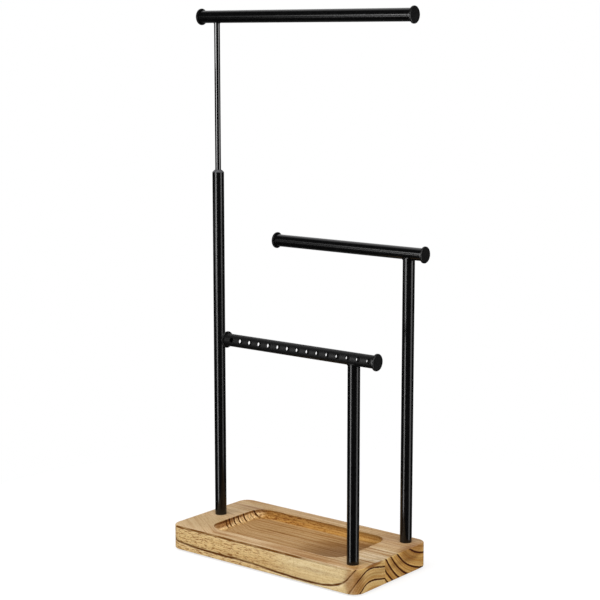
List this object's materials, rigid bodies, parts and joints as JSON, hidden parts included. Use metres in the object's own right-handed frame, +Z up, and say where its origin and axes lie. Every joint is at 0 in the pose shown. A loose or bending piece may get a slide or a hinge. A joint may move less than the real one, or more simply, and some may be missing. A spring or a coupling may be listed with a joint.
{
  "type": "tiered jewelry stand",
  "caption": "Tiered jewelry stand: black T-shaped tube rails at stepped heights on a wooden tray board, with a telescoping, swivelling top rail and a drilled earring rail.",
  "frame": {"origin": "on the table, under the middle of the whole stand's outline, which lies 6.5 mm to the right of the board's middle", "axes": "+X along the board and the rails to the right, +Y to the back, +Z up"},
  "size_m": [0.2632, 0.12, 0.5517],
  "materials": {
    "wood": "oiled softwood with strong growth rings",
    "black_coat": "satin black powder coat",
    "black_plastic": "moulded black plastic",
    "nylon": "dark grey nylon",
    "steel": "zinc-plated steel",
    "felt": "pressed felt"
  },
  "bodies": {
    "stand": {"board_front_stave": "wood", "board_back_stave": "wood", "pad_front_left": "felt", "pad_front_right": "felt", "pad_back_left": "felt", "pad_back_right": "felt", "left_post_tube": "black_coat", "left_post_plug": "steel", "left_post_bolt": "steel", "left_post_washer": "steel", "back_post_tube": "black_coat", "back_post_plug": "steel", "back_post_bolt": "steel", "back_post_washer": "steel", "front_post_tube": "black_coat", "front_post_plug": "steel", "front_post_bolt": "steel", "front_post_washer": "steel", "mouth_bush": "nylon", "middle_rail": "black_coat", "middle_rail_left_cap": "black_plastic", "middle_rail_right_cap": "black_plastic", "lower_rail": "black_coat", "lower_rail_left_cap": "black_plastic", "lower_rail_right_cap": "black_plastic"},
    "lock_slider": {"lock_sleeve": "nylon"},
    "top_t": {"slide_rod": "black_coat", "lock_cone": "steel", "top_rail": "black_coat", "top_rail_left_cap": "black_plastic", "top_rail_right_cap": "black_plastic"}
  },
  "joints": [
    {"name": "height_slide", "type": "slide", "parent": "stand", "child": "lock_slider", "axis": [0, 0, 1], "range_m": [-0.145, 0]},
    {"name": "top_swivel", "type": "hinge", "parent": "lock_slider", "child": "top_t", "pos_m": [-0.11, 0, 0.36], "axis": [0, 0, 1], "continuous": true}
  ]
}
